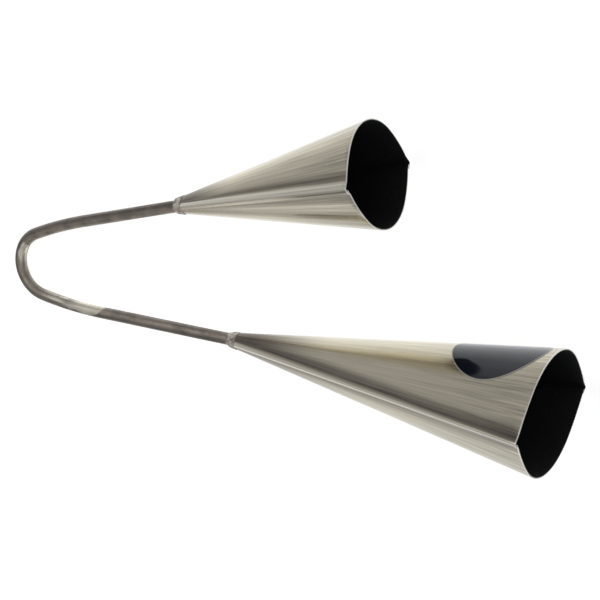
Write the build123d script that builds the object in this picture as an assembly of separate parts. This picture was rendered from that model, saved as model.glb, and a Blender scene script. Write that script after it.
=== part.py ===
from build123d import *
import math
import os

# Agogo: a small and a large sheet-steel bell welded to the two ends of one bent rod.
# Lengths are millimetres and angles are degrees.

# Handle rod, along its centre line: a tight bend, a gentle sweep and a straight run on each arm
ROD_DIAMETER = 8.0
BEND_RADIUS = 22.5
SWEEP_RADIUS = 285.0
SMALL_SWEEP_ANGLE = 8.6
LARGE_SWEEP_ANGLE = 9.8
SMALL_ARM_ANGLE = 8.0
LARGE_ARM_ANGLE = 8.0
SMALL_ARM_LENGTH = 79.0
LARGE_ARM_LENGTH = 105.0
ROD_INSERTION = 12.0

# Sheet that the four bell shells are pressed from
SHEET = 1.0

# Small bell: neck edge to mouth, seam to seam, crown to crown, and lean towards the other bell
SMALL_BELL_LENGTH = 149.0
SMALL_MOUTH_WIDTH = 84.0
SMALL_MOUTH_HEIGHT = 67.0
SMALL_LEAN_ANGLE = 0.35

# Large bell, the same sizes, and lean away from the other bell
LARGE_BELL_LENGTH = 221.0
LARGE_MOUTH_WIDTH = 111.0
LARGE_MOUTH_HEIGHT = 77.0
LARGE_LEAN_ANGLE = 1.3

# Pressed form of each half: how much rounder the crown is than one plain arc from seam to seam,
# and how far the flanks stand out from straight lines
CROWN_TIGHTENING_RATIO = 0.17
FLANK_BULGE = 1.6

# Seams at the mouth: the lipped shell folds round the corner and laps the plain shell
LAP_WIDTH = 4.0
LAP_MARGIN = 1.0
LIP_FLARE_ANGLE = 12.0
LIP_FLARE_RADIUS = 7.0
FOLD_RADIUS = 0.7
PLAIN_EDGE_SETBACK = 1.7

# The same seams at the neck, where the shells close on the rod
NECK_SEAM_REACH = 0.6
NECK_FLANK_BULGE = 0.05
NECK_LAP_WIDTH = 1.6
NECK_LAP_MARGIN = 0.25
NECK_LIP_FLARE_ANGLE = 1.0
NECK_LIP_FLARE_RADIUS = 2.5
NECK_FOLD_RADIUS = 0.4
NECK_PLAIN_EDGE_SETBACK = 0.8

# Clearances: shells on the rod, and plain shell under the lap
NECK_CLEARANCE = 0.05
LAP_CLEARANCE = 0.05

# Weld bead round each neck: its length, how far the neck edge runs into it, heights above the rod
WELD_LENGTH = 8.2
SMALL_NECK_IN_WELD = 6.3
LARGE_NECK_IN_WELD = 4.3
WELD_TOE_HEIGHT = 0.7
WELD_MIDDLE_HEIGHT = 1.9
WELD_FRONT_HEIGHT = 2.6

# Oval label on the large bell's lipped crown: its oval, its middle from the mouth, film and adhesive
LABEL_LENGTH = 59.4
LABEL_WIDTH = 56.9
LABEL_FROM_MOUTH = 35.2
LABEL_THICKNESS = 0.2
LABEL_ADHESIVE = 0.3

ROD_RADIUS = ROD_DIAMETER / 2


def polar(centre, radius, angle):
    """Point at an angle in radians, measured from the crown direction towards the seam."""
    return (centre[0] + radius * math.sin(angle), centre[1] + radius * math.cos(angle))


def arc_points(centre, radius, start, end):
    return tuple(polar(centre, radius, angle) for angle in (start, (start + end) / 2, end))


class HalfOutline:
    """Half of a bell's cross-section, from the crown to a seam corner at (half_width, 0).

    A crown arc runs into a flank arc, then into a small reverse flare and a straight lip
    that ends at the corner. An offset moves every piece outwards by the same amount.
    """

    def __init__(self, half_width, height, crown_radius, bulge, lip_width, flare, flare_radius):
        self.half_width = half_width
        self.crown_radius = crown_radius
        self.flare_radius = flare_radius
        self.crown_centre = (0.0, height - crown_radius)
        turn = math.radians(flare)
        flare_loss = lip_width * math.sin(turn) + flare_radius * (1 - math.cos(turn))
        reach = math.hypot(half_width, self.crown_centre[1])
        lean = math.atan2(self.crown_centre[1], half_width)
        self.flank_slope = lean + math.asin((crown_radius + bulge + flare_loss) / reach)
        self.lip_slope = self.flank_slope - turn
        self.flare_centre = polar(self.on_lip(lip_width), flare_radius, self.lip_slope)
        foot = polar(self.flare_centre, -flare_radius, self.flank_slope)
        above = foot[1] - self.crown_centre[1]
        self.flank_radius = (foot[0] ** 2 + above**2 - crown_radius**2) / (2 * bulge)
        self.flank_centre = polar(foot, -self.flank_radius, self.flank_slope)
        self.crown_turn = math.atan2(
            -self.flank_centre[0], self.crown_centre[1] - self.flank_centre[1]
        )

    def on_lip(self, setback, offset=0.0):
        """Point on the lip, a distance back from the corner."""
        across = self.half_width - setback * math.cos(self.lip_slope)
        return polar((across, setback * math.sin(self.lip_slope)), offset, self.lip_slope)

    def crown(self, offset):
        radius = self.crown_radius + offset
        return arc_points(self.crown_centre, radius, -self.crown_turn, self.crown_turn)

    def flank(self, offset):
        radius = self.flank_radius + offset
        return arc_points(self.flank_centre, radius, self.crown_turn, self.flank_slope)

    def flare(self, offset):
        radius = offset - self.flare_radius
        return arc_points(self.flare_centre, radius, self.flank_slope, self.lip_slope)

    def side(self, offset, setback):
        """Flank, flare and lip on one side, ending a distance back from the corner."""
        flare = self.flare(offset)
        return [self.flank(offset), flare, (flare[-1], self.on_lip(setback, offset))]


def upside_down(strokes):
    return [tuple((x, -y) for x, y in stroke) for stroke in strokes]


def both_sides(crown, side):
    """A crown with one side's strokes and their mirror image, in order along the sheet."""
    other = [tuple((-x, y) for x, y in reversed(stroke)) for stroke in reversed(side)]
    return other + [crown] + side


def closed_wire(first, second):
    """Two lines of strokes that run the same way, joined straight at their ends."""
    ends = [(first[i][i], second[i][i]) for i in (0, -1)]
    strokes = first + second + ends
    return Wire([Line(*s) if len(s) == 2 else ThreePointArc(*s) for s in strokes])


class Section:
    """Cross-section of one bell, at its neck or at its mouth.

    The lipped shell lies outside the two half outlines, and the plain shell inside.
    """

    def __init__(self, lipped, plain, lap_width, fold_radius, plain_setback):
        self.lipped = lipped
        self.plain = plain
        self.lap_width = lap_width
        self.fold_radius = fold_radius
        self.plain_setback = plain_setback
        self.fold_setback = fold_radius / math.tan((lipped.lip_slope + plain.lip_slope) / 2)
        self.fold_centre = polar(
            lipped.on_lip(self.fold_setback), -fold_radius, lipped.lip_slope
        )

    def lipped_face(self, offset):
        """One face of the lipped shell, from lap edge to lap edge."""
        side = self.lipped.side(offset, self.fold_setback)
        fold_end = math.pi - self.plain.lip_slope
        radius = self.fold_radius + offset
        fold = arc_points(self.fold_centre, radius, self.lipped.lip_slope, fold_end)
        lap = [tuple(self.plain.on_lip(x, offset) for x in (self.fold_setback, self.lap_width))]
        return both_sides(self.lipped.crown(offset), side + [fold] + upside_down(lap))

    def plain_face(self, depth):
        """One face of the plain shell, from edge to edge, a depth into its sheet."""
        offset = -LAP_CLEARANCE - depth
        side = self.plain.side(offset, self.plain_setback)
        return upside_down(both_sides(self.plain.crown(offset), side))

    def lipped_wire(self):
        return closed_wire(self.lipped_face(0.0), self.lipped_face(SHEET))

    def plain_wire(self):
        return closed_wire(self.plain_face(0.0), self.plain_face(SHEET))

    def middle_wire(self):
        """Closed line through the middle of both sheets."""
        side = self.lipped.side(SHEET / 2, self.plain_setback)
        above = both_sides(self.lipped.crown(SHEET / 2), side)
        return closed_wire(above, self.plain_face(SHEET / 2))

    def label_wire(self):
        """Skin over the outside of the lipped shell's crown and flanks."""
        under = SHEET + LABEL_ADHESIVE
        offsets = (under, under + LABEL_THICKNESS)
        faces = [both_sides(self.lipped.crown(o), [self.lipped.flank(o)]) for o in offsets]
        return closed_wire(*faces)


def mouth_section(width, height):
    half_width = width / 2
    half_height = height / 2
    one_arc_radius = (half_width**2 + half_height**2) / height
    half = HalfOutline(
        half_width,
        half_height,
        one_arc_radius * (1 - CROWN_TIGHTENING_RATIO),
        FLANK_BULGE,
        LAP_WIDTH + LAP_MARGIN,
        LIP_FLARE_ANGLE,
        LIP_FLARE_RADIUS,
    )
    return Section(half, half, LAP_WIDTH, FOLD_RADIUS, PLAIN_EDGE_SETBACK)


def neck_section():
    """Both shells hug the rod, so the plain shell's outside is one sheet further out."""
    lipped_radius = ROD_RADIUS + NECK_CLEARANCE
    plain_radius = lipped_radius + SHEET + LAP_CLEARANCE
    halves = [
        HalfOutline(
            plain_radius + NECK_SEAM_REACH,
            radius,
            radius,
            NECK_FLANK_BULGE,
            NECK_LAP_WIDTH + NECK_LAP_MARGIN,
            NECK_LIP_FLARE_ANGLE,
            NECK_LIP_FLARE_RADIUS,
        )
        for radius in (lipped_radius, plain_radius)
    ]
    return Section(*halves, NECK_LAP_WIDTH, NECK_FOLD_RADIUS, NECK_PLAIN_EDGE_SETBACK)


class Bell:
    """One bell, on a plane whose Z runs from the neck edge to the mouth.

    The plane's X points at the seam that the instrument lies on, and its Y at the lipped crown.
    """

    def __init__(self, plane, length, mouth, neck_in_weld):
        self.plane = plane
        self.mouth_plane = plane.offset(length)
        self.neck_in_weld = neck_in_weld
        self.neck = neck_section()
        self.mouth = mouth
        self.lipped_shell = self.ruled(self.neck.lipped_wire(), mouth.lipped_wire())
        self.plain_shell = self.ruled(self.neck.plain_wire(), mouth.plain_wire())

    def ruled(self, neck_wire, mouth_wire):
        return Solid.make_loft([self.plane * neck_wire, self.mouth_plane * mouth_wire], ruled=True)

    def neck_weld(self, rod):
        """Swelling bead round the rod and over the neck edge."""
        toe = (ROD_RADIUS + WELD_TOE_HEIGHT, self.neck_in_weld - WELD_LENGTH)
        front = (ROD_RADIUS + WELD_FRONT_HEIGHT, self.neck_in_weld)
        middle = (ROD_RADIUS + WELD_MIDDLE_HEIGHT, (toe[1] + front[1]) / 2)
        outline = [
            Line((0, toe[1]), toe),
            ThreePointArc(toe, middle, front),
            Line(front, (0, front[1])),
            Line((0, front[1]), (0, toe[1])),
        ]
        bead = self.plane * revolve(Plane.XZ * make_face(outline), Axis.Z)
        inside = self.ruled(self.neck.middle_wire(), self.mouth.middle_wire())
        bead = bead - rod - inside - self.lipped_shell - self.plain_shell
        return max(bead.solids(), key=lambda solid: solid.volume)

    def label(self):
        """Thin oval that follows the crown, laid square on the crown's line."""
        skin = self.ruled(self.neck.label_wire(), self.mouth.label_wire())
        neck_crown = self.plane.from_local_coords(self.neck.lipped.crown(SHEET)[1])
        mouth_crown = self.mouth_plane.from_local_coords(self.mouth.lipped.crown(SHEET)[1])
        crown_line = (mouth_crown - neck_crown).normalized()
        centre = mouth_crown - LABEL_FROM_MOUTH * crown_line
        plane = Plane(origin=centre, x_dir=crown_line, z_dir=crown_line.cross(self.plane.x_dir))
        oval = plane * Ellipse(LABEL_LENGTH / 2, LABEL_WIDTH / 2)
        return (skin & extrude(oval, self.mouth.lipped.half_width, both=True)).solid()

    def resting_seam(self):
        """Centre and radius of the seam's rounded fold, at the corner that the bell lies on."""
        centre = self.mouth_plane.from_local_coords(self.mouth.fold_centre)
        return centre, self.mouth.fold_radius + SHEET


def handle_arm(start, tangent, turn, length, lean):
    """Gentle sweep out of the bend, then a straight run to the neck and on into it.

    The plane at the neck is the bell's, which may lean a little off the arm's line.
    """
    curve = JernArc(start, tangent, SWEEP_RADIUS, turn)
    direction = curve % 1
    neck = curve @ 1 + length * direction
    straight = Line(curve @ 1, neck + ROD_INSERTION * direction)
    bell_axis = direction.rotate(Axis.Z, lean)
    return curve, straight, Plane(origin=neck, x_dir=(0, 0, -1), z_dir=bell_axis)


def resting_plane(contacts):
    """Plane that three balls, given by centre and radius, lie on."""
    (a, a_radius), (b, b_radius), (c, c_radius) = contacts
    p = b - a
    q = c - a
    normal = p.cross(q).normalized()
    spread = p.dot(p) * q.dot(q) - p.dot(q) ** 2
    rise_p = b_radius - a_radius
    rise_q = c_radius - a_radius
    along_p = (rise_p * q.dot(q) - rise_q * p.dot(q)) / spread
    along_q = (rise_q * p.dot(p) - rise_p * p.dot(q)) / spread
    tilt = along_p * p + along_q * q
    up = tilt + normal * math.copysign(math.sqrt(1 - tilt.dot(tilt)), normal.Z)
    return Plane(origin=a - a_radius * up, x_dir=(1, 0, 0), z_dir=up)


# Handle, in a plane of its own: X from the bend towards the mouths, Y towards the small bell
small_bend_angle = SMALL_ARM_ANGLE + SMALL_SWEEP_ANGLE
large_bend_angle = LARGE_ARM_ANGLE + LARGE_SWEEP_ANGLE
bend_turn = 180 - small_bend_angle - large_bend_angle
bend = CenterArc((0, 0), BEND_RADIUS, 90 + small_bend_angle, bend_turn)
small_curve, small_straight, small_neck = handle_arm(
    bend @ 0, -(bend % 0), -SMALL_SWEEP_ANGLE, SMALL_ARM_LENGTH, -SMALL_LEAN_ANGLE
)
large_curve, large_straight, large_neck = handle_arm(
    bend @ 1, bend % 1, LARGE_SWEEP_ANGLE, LARGE_ARM_LENGTH, -LARGE_LEAN_ANGLE
)
path = Wire([small_straight, small_curve, bend, large_curve, large_straight])
rod_start = Plane(origin=path @ 0, z_dir=path % 0)
handle_rod = sweep(rod_start * Circle(ROD_RADIUS), path=path)

# Bells on the two necks
small_bell = Bell(
    small_neck,
    SMALL_BELL_LENGTH,
    mouth_section(SMALL_MOUTH_WIDTH, SMALL_MOUTH_HEIGHT),
    SMALL_NECK_IN_WELD,
)
large_bell = Bell(
    large_neck,
    LARGE_BELL_LENGTH,
    mouth_section(LARGE_MOUTH_WIDTH, LARGE_MOUTH_HEIGHT),
    LARGE_NECK_IN_WELD,
)

pieces = {
    "handle_rod": handle_rod,
    "small_bell_lipped_shell": small_bell.lipped_shell,
    "small_bell_plain_shell": small_bell.plain_shell,
    "small_neck_weld": small_bell.neck_weld(handle_rod),
    "large_bell_lipped_shell": large_bell.lipped_shell,
    "large_bell_plain_shell": large_bell.plain_shell,
    "large_neck_weld": large_bell.neck_weld(handle_rod),
    "oval_label": large_bell.label(),
}

# Lying on its side, on the bend and one seam corner of each mouth, centred over the origin
bend_end = (Vector(-BEND_RADIUS, 0, 0), ROD_RADIUS)
table = resting_plane([bend_end, large_bell.resting_seam(), small_bell.resting_seam()])
lying = {name: table.to_local_coords(piece) for name, piece in pieces.items()}
box = Compound(list(lying.values())).bounding_box()
centring = Location((-box.center().X, -box.center().Y, -box.min.Z))

os.makedirs("parts", exist_ok=True)
for name, piece in lying.items():
    export_step(centring * piece, f"parts/{name}.step")
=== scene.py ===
import math
from typing import NamedTuple

import bpy
from bpy.props import FloatProperty, FloatVectorProperty, PointerProperty
from mathutils import Matrix, Vector


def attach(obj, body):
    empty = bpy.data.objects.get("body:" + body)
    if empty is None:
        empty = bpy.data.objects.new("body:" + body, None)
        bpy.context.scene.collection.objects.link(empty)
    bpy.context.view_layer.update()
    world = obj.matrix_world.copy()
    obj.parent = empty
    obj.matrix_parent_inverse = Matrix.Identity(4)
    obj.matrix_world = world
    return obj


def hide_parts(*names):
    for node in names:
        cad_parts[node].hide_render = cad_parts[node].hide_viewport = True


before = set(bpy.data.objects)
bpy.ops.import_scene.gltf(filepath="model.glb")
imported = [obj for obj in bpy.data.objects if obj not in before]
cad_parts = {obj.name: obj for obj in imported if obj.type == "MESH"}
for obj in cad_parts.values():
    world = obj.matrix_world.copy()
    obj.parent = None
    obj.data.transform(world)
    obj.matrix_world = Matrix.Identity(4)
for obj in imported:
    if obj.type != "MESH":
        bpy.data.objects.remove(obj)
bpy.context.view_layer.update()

bl_info = {
    "name": "Agogo bell",
    "version": (1, 0, 0),
    "blender": (4, 5, 0),
    "location": "View3D > Sidebar > Agogo",
    "description": "Dresses an agogo: brushed bell shells, bent rod, weld beads and an oval label",
    "category": "Object",
}

# How the instrument lies: place of the bend's centre, pitch and roll of the handle's plane
BEND_CENTRE = Vector((-0.170932, 0.012442, 0.007046))
HANDLE_PITCH = math.radians(7.7484)
HANDLE_ROLL = math.radians(0.1636)

# Seam of the two half shells, at the mouth
LAP_MARGIN = 0.001
FOLD_RADIUS = 0.0007
PLAIN_EDGE_SETBACK = 0.0017

# The same seam at the neck, where the shells close on the rod
NECK_SEAM_REACH = 0.0006
NECK_FLANK_BULGE = 0.00005
NECK_LAP_WIDTH = 0.0016
NECK_LAP_MARGIN = 0.00025
NECK_FLARE = math.radians(1.0)
NECK_FLARE_RADIUS = 0.0025
NECK_FOLD_RADIUS = 0.0004
NECK_PLAIN_SETBACK = 0.0008
FIT_CLEARANCE = 0.00005

# Steps along each stroke of half an outline, and along a bell
CROWN_STEPS = 16
FLANK_STEPS = 20
FLARE_STEPS = 6
LIP_STEPS = 10
FOLD_STEPS = 7
LAP_STEPS = 12
SHELL_ROWS = 40

# Waves of the pressed sheet: their height, how close they lie, and the strip beside the seams without them
SHELL_WAVES = 0.00025
WAVE_SCALE = 24.0
WAVE_SEED = 6.0
SEAM_CALM = 0.02

# Edges: bevel of the cut sheet, which corners it takes, and which edges are shaded sharp
RIM_BEVEL = 0.0003
RIM_STEPS = 3
RIM_ANGLE = math.radians(60)
SHARP_EDGE = math.radians(25)
MERGE_DISTANCE = 1e-6

# Rod: steps along its bends and round it, and height and closeness of its dents
ARC_STEP = math.radians(2.5)
SWEEP_STEPS = 10
ROD_SIDES = 40
ROD_DENTS = 0.0002
DENT_SCALE = 90.0
DENT_SEED = 4.0

# Weld beads: length, height over the steel, least height, lumps, wander of the front edge, depth of
# the buried rows, steps along, and one seed for each bead
WELD_LENGTH = 0.0082
WELD_HEIGHT = 0.00045
WELD_LEAST_HEIGHT = 0.00005
WELD_EDGE_SHARE = 0.2
WELD_LUMPS = 0.0012
WELD_LUMP_SCALE = 380.0
WELD_WANDER = 0.0022
WELD_WANDER_SCALE = 1.4
WELD_BURY = 0.0008
WELD_STEPS = 18
WELD_SEEDS = (3.0, 4.0)

# Label: height that it is dropped from, steps from its middle to its edge and round it, and the part
# of its reach over which the film turns to its pale edge
LABEL_DROP = 0.03
LABEL_STEPS = 24
LABEL_SIDES = 96
LABEL_EDGE = (0.979, 0.986)

# Tone of the lipped shell beside the seam, as distance past the corner at the mouth and how dark it is:
# patina, with painted shade in the flare's valley and on the lap. Below zero lies the lap. A tone below
# zero is a painted highlight.
SEAM_PATINA_SHADE_AND_HIGHLIGHTS = {
    "small": (
        (-0.0044, 0.35),
        (-0.0030, 0.30),
        (-0.0021, 1.20),
        (-0.0012, 1.10),
        (-0.0003, 0.00),
        (0.0007, -0.90),
        (0.0020, -0.10),
        (0.0036, -0.90),
        (0.0050, -0.20),
        (0.0065, 0.35),
        (0.0082, 0.80),
        (0.0095, 0.65),
        (0.0115, 0.35),
        (0.0140, 0.00),
    ),
    "large": (
        (-0.0044, 0.65),
        (-0.0030, 0.60),
        (-0.0018, 0.30),
        (-0.0009, -0.80),
        (0.0000, -0.70),
        (0.0010, 0.10),
        (0.0026, 0.85),
        (0.0036, 1.10),
        (0.0050, 0.85),
        (0.0085, 0.72),
        (0.0110, 0.35),
        (0.0145, 0.00),
    ),
}

# Painted shade and dirt on the plain shell beside the lap, as distance from its edge and how dark it is
LAP_SHADE_AND_DIRT = {
    "small": (
        (0.0022, 0.60),
        (0.0040, 0.35),
        (0.0062, 0.12),
        (0.0095, 0.00),
    ),
    "large": (
        (0.0022, 1.00),
        (0.0045, 0.90),
        (0.0065, 0.60),
        (0.0100, 0.33),
        (0.0140, 0.12),
        (0.0180, 0.00),
    ),
}

# These bands narrow towards the neck less than the bell does: share of the distance past the corner that
# counts at the neck, where along the bell all of it counts, and where the dark line on a lap fades in
BAND_NECK_SHARE = {"small": 0.70, "large": 0.25}
BAND_WHOLE_FROM = 0.78
LAP_LINE_FADE = {"small": (0.55, 0.80)}

# Tint that the weld burnt into the necks: how dark it is, where along the bell it fades, as shares of
# the length, and where it starts beside the seam
BURNT_NECKS = {"small": {"lipped": 0.95, "plain": 0.3}, "large": {"lipped": 0.95, "plain": 0.75}}
BURNT_FADE = 0.06
BURNT_END = {"lipped": 0.36, "plain": 0.6}
BURNT_START = (0.002, 0.006)

# Brushed steel: length and width of a brush line, how far the lines darken it, how they fade away from
# the mouth, how the patina and painted shade vary, and the strip at the mouth that gets a painted highlight
STEEL_LINES = (0.04, 0.0008)
STREAK_DARKENING = 0.18
SCRATCH_DARKENING = 0.38
BRUSH_FADE = (0.01, 0.09)
BRUSH_FAR_FROM_MOUTH = 0.4
DARKENING_BY_BLOTCHES = (0.85, 1.05)
DARKENING_BY_STREAKS = (1.1, 0.85)
MOUTH_HIGHLIGHT = (0.00035, 0.0007)

# Contrast of the brush lines and clouds, as the part of the noise that is stretched to the full range
SCRATCH_CONTRAST = (0.33, 0.67)
STREAK_CONTRAST = (0.35, 0.65)
BLOTCH_CONTRAST = (0.3, 0.7)
GRAIN_CONTRAST = (0.25, 0.75)
GRAIN_FINENESS = 40.0

# Inside of the bells: specks, and the ragged edge of the black at the mouth, as a share of the sheet
SPECK_SCALE = 420.0
SPECK_EDGE = (0.08, 0.2)
SPECK_STRENGTH = 0.8
SPECK_RARITY = (0.5, 0.85)
PAINT_EDGE = (0.5, 0.7)
PAINT_WANDER = 0.1

# Wear of the rod, as distances along it from the start of the bend, and how bare it is there
BEND_WEAR = (
    (0.010, 0.0),
    (0.012, 1.7),
    (0.020, 1.4),
    (0.027, 0.5),
    (0.040, 0.9),
    (0.048, 1.2),
    (0.098, 0.8),
    (0.105, 0.0),
)
WEAR_WANDER = (0.0025, 0.0013)
WEAR_STREAKS = (0.25, 0.7)
BARE_PATCH = (0.070, 0.1055)
BARE_PATCH_SLANT = 0.9
BARE_PATCH_BLUR = 0.0006

# Sides of the rod, in radii from its middle line: above zero is the outside of the handle
WORN_SIDE = (0.35, -0.25)
WORN_EDGE = (-0.98, -0.8)
SCRAPED_SIDE = (0.6, 0.25)
# Side of the rod that is painted paler, as a reflection of the floor
FLOOR_REFLECTION_SIDE = (0.4, -0.6)
INNERMOST_SIDE = (-0.6, -1.0)

# Rest of the rod's finish, and the weld's burns and its darkening along the edges
ROD_LINES = (0.014, 0.0009)
ROD_SCRATCH_DARKENING = 0.24
STAIN_EDGE = (0.35, 0.8)
STAIN_STRENGTH = 0.45
WELD_BURNS = (0.3, 0.9)
WELD_EDGE_DARKENING = (0.4, 0.5)
BLACK = (0.0, 0.0, 0.0, 1.0)

# Stage: floor, the strip of it in front that glows more, the ceiling's edge, the soft light and the film
FLOOR_REACH = 4.0
FRONT_GLOW_SPAN = (-0.15, -0.45)
CEILING_EDGE = (0.55, 0.85)
KEY_SIZE = (1.6, 1.2)
KEY_PLACE = Vector((-0.5, 0.7, 1.5))
KEY_AIM = Vector((0.0, 0.0, 0.05))
FILM_WIDTH_MM = 36.0


class Texture(NamedTuple):
    """Clouds on a surface, its roughness from one end of its pattern to the other, and depth of bumps."""

    cloud_scale: float
    seed: float
    roughness: tuple
    relief: float


STEEL_TEXTURE = Texture(cloud_scale=22.0, seed=0.0, roughness=(0.26, 0.18), relief=0.000008)
INSIDE_TEXTURE = Texture(cloud_scale=35.0, seed=3.0, roughness=(0.62, 0.80), relief=0.00003)
MOUTH_EDGE_TEXTURE = Texture(cloud_scale=90.0, seed=5.0, roughness=(0.34, 0.50), relief=0.00002)
SEAM_EDGE_TEXTURE = Texture(cloud_scale=120.0, seed=6.0, roughness=(0.45, 0.65), relief=0.00003)
ROD_TEXTURE = Texture(cloud_scale=110.0, seed=2.0, roughness=(0.52, 0.40), relief=0.00002)
WELD_TEXTURE = Texture(cloud_scale=380.0, seed=7.0, roughness=(0.40, 0.55), relief=0.0005)
LABEL_TEXTURE = Texture(cloud_scale=70.0, seed=9.0, roughness=(0.07, 0.10), relief=0.000002)
FLOOR_TEXTURE = Texture(cloud_scale=3.0, seed=11.0, roughness=(0.75, 0.85), relief=0.00001)


def size(name, description, default):
    return FloatProperty(
        name=name, description=description, default=default, min=0.0, precision=5, unit="LENGTH"
    )


def turn(name, description, degrees):
    return FloatProperty(
        name=name, description=description, default=math.radians(degrees), subtype="ANGLE", unit="ROTATION"
    )


def share(name, description, default):
    return FloatProperty(
        name=name, description=description, default=default, min=0.0, max=1.0, subtype="FACTOR"
    )


def strength(name, description, default):
    return FloatProperty(name=name, description=description, default=default, min=0.0)


def colour(name, description, default):
    return FloatVectorProperty(
        name=name, description=description, default=default, size=3, min=0.0, max=1.0, subtype="COLOR"
    )


class HandleSizes(bpy.types.PropertyGroup):
    """Bent rod that carries both bells."""

    rod_diameter: size("Rod diameter", "Diameter of the round bar", 0.008)
    bend_radius: size("Bend radius", "Radius of the tight bend, to the middle of the rod", 0.0225)
    sweep_radius: size("Sweep radius", "Radius of the gentle sweep on each arm", 0.285)
    small_sweep: turn("Small sweep", "Turn of the sweep on the small bell's arm", 8.6)
    large_sweep: turn("Large sweep", "Turn of the sweep on the large bell's arm", 9.8)
    small_spread: turn("Small spread", "Angle of the small bell's straight arm", 8.0)
    large_spread: turn("Large spread", "Angle of the large bell's straight arm", 8.0)
    small_arm: size("Small arm", "Straight run to the small bell's neck", 0.079)
    large_arm: size("Large arm", "Straight run to the large bell's neck", 0.105)
    insertion: size("Insertion", "Length of rod inside each neck", 0.012)


class SmallBellSizes(bpy.types.PropertyGroup):
    """Small, higher bell."""

    bell_length: size("Length", "Neck edge to mouth", 0.149)
    mouth_width: size("Mouth width", "Seam to seam at the mouth", 0.084)
    mouth_height: size("Mouth height", "Crown to crown at the mouth", 0.067)
    lean: turn("Lean", "Lean of the bell off its arm", 0.35)
    neck_in_weld: size("Neck in weld", "Length of the neck under the weld bead", 0.0063)


class LargeBellSizes(bpy.types.PropertyGroup):
    """Large, lower bell."""

    bell_length: size("Length", "Neck edge to mouth", 0.221)
    mouth_width: size("Mouth width", "Seam to seam at the mouth", 0.111)
    mouth_height: size("Mouth height", "Crown to crown at the mouth", 0.077)
    lean: turn("Lean", "Lean of the bell off its arm", 1.3)
    neck_in_weld: size("Neck in weld", "Length of the neck under the weld bead", 0.0043)


class SheetSizes(bpy.types.PropertyGroup):
    """Pressed sheet of the bell shells."""

    thickness: size("Thickness", "Thickness of the sheet", 0.001)
    crown_tightening: share("Crown tightening", "How much rounder the crown is than one plain arc", 0.17)
    flank_bulge: size("Flank bulge", "How far the flanks stand out from straight lines", 0.0016)
    lap_width: size("Lap width", "Width of the lip that laps the plain shell, at the mouth", 0.004)
    flare: turn("Lip flare", "Outward turn of the sheet beside the seam", 12.0)
    flare_radius: size("Flare radius", "Radius of that turn", 0.007)


class LabelSizes(bpy.types.PropertyGroup):
    """Oval label on the large bell."""

    length: size("Length", "Length along the bell", 0.0604)
    width: size("Width", "Width across the bell", 0.0582)
    from_mouth: size("From mouth", "Distance of its middle from the mouth, along the crown", 0.0355)
    height: size("Height", "Height of its face above the steel", 0.00032)


class Finishes(bpy.types.PropertyGroup):
    """Colours of the surfaces."""

    steel: colour("Brushed steel", "Brushed outside of the bells", (0.80, 0.74, 0.585))
    # Colour of the painted highlights on the folds beside the seams and on the strip at the mouth's rim
    rubbed_and_highlight: colour("Rubbed steel", "Folds that are rubbed bright", (0.97, 0.93, 0.83))
    # Dark colour of the patina beside the seams, also used for painted shade in the flare's valley and on
    # the lap, and for the painted shadow on the lap's cut edge
    patina: colour("Patina", "Dark tone left beside the seams", (0.165, 0.14, 0.12))
    cut_edge: colour("Cut edge", "Bare edge of the sheet", (0.80, 0.77, 0.70))
    inside: colour("Inside", "Blackened inside of the bells", (0.006, 0.006, 0.007))
    inside_specks: colour("Inside specks", "Faint specks on the inside", (0.10, 0.10, 0.105))
    rod_dark: colour("Dark rod", "Oxidised rod", (0.25, 0.22, 0.19))
    # Paler rod on the inside of the handle, a painted reflection of the floor
    rod_floor_reflection: colour("Pale rod", "Oxidised rod on the inside of the handle", (0.46, 0.41, 0.345))
    rod_worn: colour("Worn rod", "Rod where it is rubbed bright", (0.82, 0.765, 0.655))
    weld: colour("Weld", "Brushed weld metal", (0.64, 0.58, 0.50))
    label: colour("Label", "Glossy film", (0.006, 0.008, 0.013))
    label_edge: colour("Label edge", "Thin pale edge of the film", (0.41, 0.39, 0.35))


class StageLook(bpy.types.PropertyGroup):
    """Floor, light and camera."""

    floor: colour("Floor", "Pale floor", (0.90, 0.90, 0.90))
    mirrored_floor: colour("Mirrored floor", "Floor as the steel sees it", (0.865, 0.895, 0.94))
    floor_glow: strength("Floor glow", "Glow of the floor as the camera sees it", 0.72)
    near_glow: strength("Near glow", "Glow of the floor close to the bells, as the steel sees it", 1.1)
    far_glow: strength("Far glow", "Glow of the floor far off, as the steel sees it", 0.08)
    front_glow: strength("Front glow", "Extra glow in front of the large bell, as the steel sees it", 0.36)
    glow_reach: size("Glow reach", "Distance over which the glow thins out", 0.09)
    room: colour("Room", "Tone of the room around the floor", (0.40, 0.40, 0.41))
    ceiling: colour("Ceiling", "Tone of the room overhead", (0.62, 0.62, 0.62))
    key_power: FloatProperty(
        name="Key light", description="Power of the soft light above", default=2.0, min=0.0, unit="POWER"
    )
    camera_place: FloatVectorProperty(
        name="Camera place",
        description="Where the camera stands",
        default=(0.450025, 0.251423, 1.028022),
        size=3,
        subtype="TRANSLATION",
        unit="LENGTH",
    )
    camera_turn: FloatVectorProperty(
        name="Camera turn",
        description="How the camera is turned",
        default=(math.radians(-15.6498), math.radians(21.7316), math.radians(-5.9440)),
        size=3,
        subtype="EULER",
        unit="ROTATION",
    )
    lens: FloatProperty(
        name="Lens", description="Focal length", default=105.866, min=1.0, unit="CAMERA"
    )


class AgogoSettings(bpy.types.PropertyGroup):
    """All the sizes and colours of the instrument."""

    handle: PointerProperty(type=HandleSizes)
    small_bell: PointerProperty(type=SmallBellSizes)
    large_bell: PointerProperty(type=LargeBellSizes)
    sheet: PointerProperty(type=SheetSizes)
    label: PointerProperty(type=LabelSizes)
    finishes: PointerProperty(type=Finishes)
    stage: PointerProperty(type=StageLook)


# Building node trees


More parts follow.
